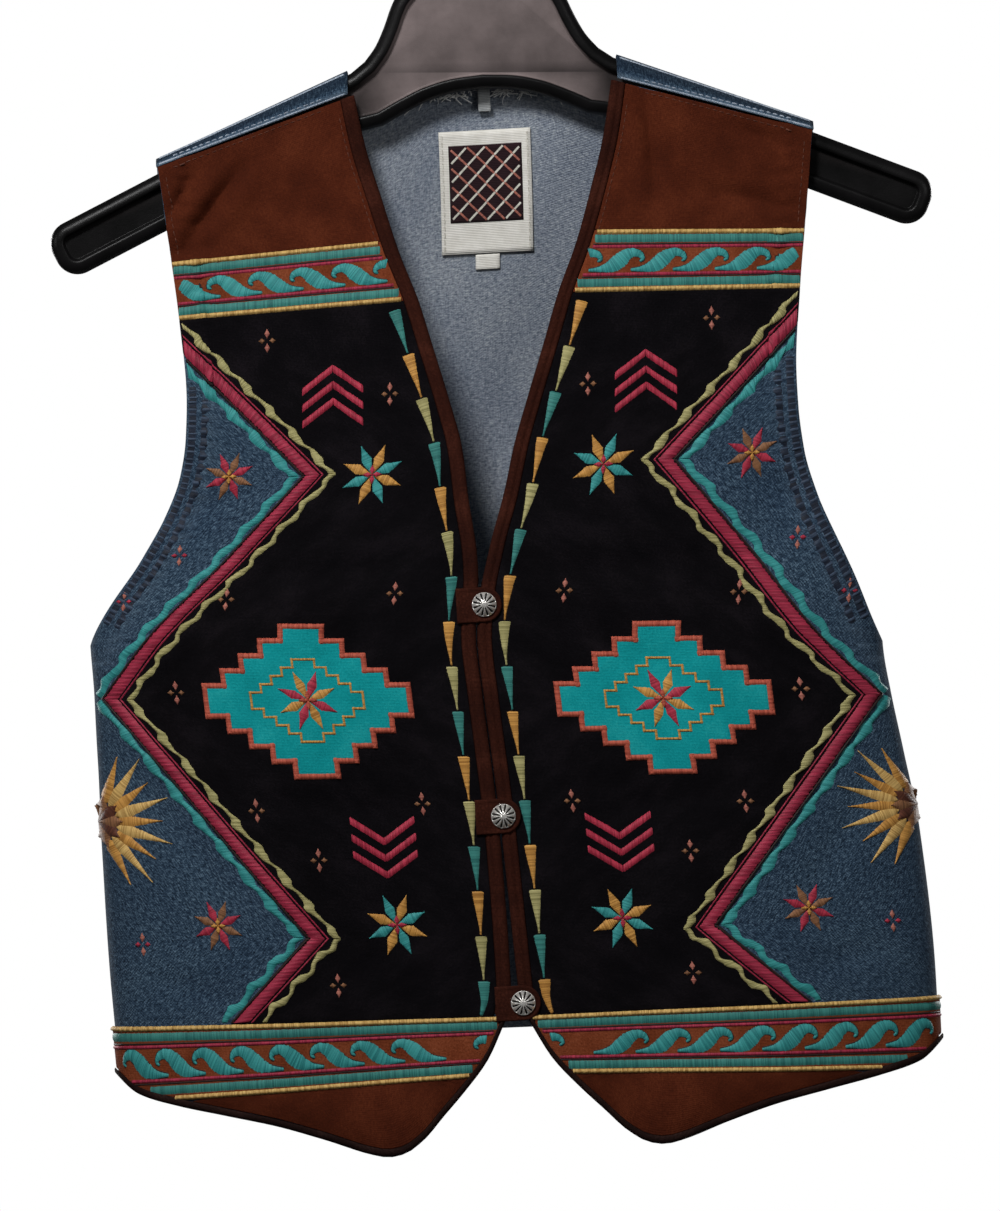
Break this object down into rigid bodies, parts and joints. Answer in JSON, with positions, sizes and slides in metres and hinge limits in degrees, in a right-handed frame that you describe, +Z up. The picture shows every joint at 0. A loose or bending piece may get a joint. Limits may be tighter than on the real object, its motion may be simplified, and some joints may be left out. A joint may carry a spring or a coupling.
{
  "type": "embroidered denim vest on a hanger",
  "caption": "Sleeveless denim vest with rust yokes, black zigzag panels, worked bands, pointed fronts and button tabs, hung open-necked on a dark moulded hanger with a fixed hook.",
  "frame": {"origin": "where a rail touches the inside of the hook's top, on the hanger's middle plane", "axes": "+Z up; the vest's front faces -Y; +X is to the right as seen from the front"},
  "size_m": [0.4304, 0.0971, 0.6372],
  "materials": {
    "denim": "slubby twill, faded at the edges",
    "rust_cotton": "brushed, matt",
    "worked_band": "stitched, with a thread sheen",
    "black_cotton": "matt",
    "brown_cotton": "brushed, matt",
    "dark_edge": "matt",
    "silver_metal": "fluted, bright with dark hollows",
    "cream_tape": "woven, satin",
    "grey_tape": "woven, matt",
    "dark_plastic": "satin gloss, lightly scuffed"
  },
  "bodies": {
    "root": {"back": "denim", "front_left": "denim", "front_right": "denim", "yoke_left": "rust_cotton", "yoke_right": "rust_cotton", "hem_point_left": "rust_cotton", "hem_point_right": "rust_cotton", "yoke_band_left": "worked_band", "yoke_band_right": "worked_band", "hem_band_left": "worked_band", "hem_band_right": "worked_band", "panel_left": "black_cotton", "panel_right": "black_cotton", "edge_binding_left": "brown_cotton", "edge_binding_right": "brown_cotton", "tab_top": "brown_cotton", "tab_middle": "brown_cotton", "tab_bottom": "brown_cotton", "hem_binding_left": "dark_edge", "hem_binding_right": "dark_edge", "button_top": "silver_metal", "button_middle": "silver_metal", "button_bottom": "silver_metal", "label": "cream_tape", "size_tab": "cream_tape", "hang_loop": "grey_tape", "hanger_body": "dark_plastic", "hanger_hook": "dark_plastic"}
  },
  "joints": []
}
